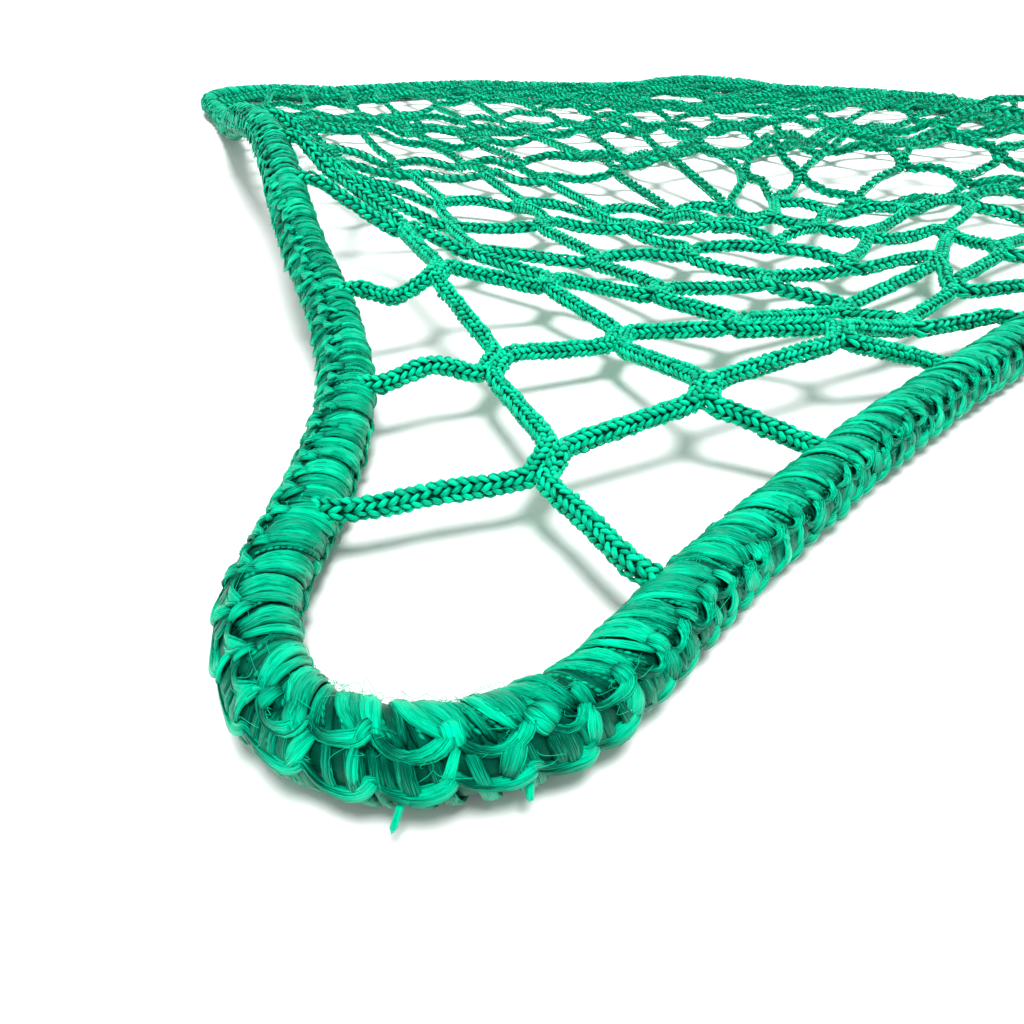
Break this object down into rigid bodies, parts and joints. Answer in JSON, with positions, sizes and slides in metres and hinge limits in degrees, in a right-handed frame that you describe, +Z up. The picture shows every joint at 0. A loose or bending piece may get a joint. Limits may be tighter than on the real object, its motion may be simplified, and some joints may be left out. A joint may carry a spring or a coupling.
{
  "type": "flatbed cover net",
  "caption": "Short length of knotless green cover netting on a covered edge rope that makes an attachment loop at each corner, lying on the floor with one corner pulled out.",
  "frame": {"origin": "middle of the footprint, on the floor that the net lies on", "axes": "+Z up, the pulled-out corner at -Y, +X to the right as seen from that corner"},
  "size_m": [0.4946, 0.4946, 0.0312],
  "materials": {
    "netting": "glossy multifilament knit",
    "rope_cover": "glossy multifilament overedge"
  },
  "bodies": {
    "root": {"net": "netting", "edge_rope": "rope_cover"}
  },
  "joints": []
}
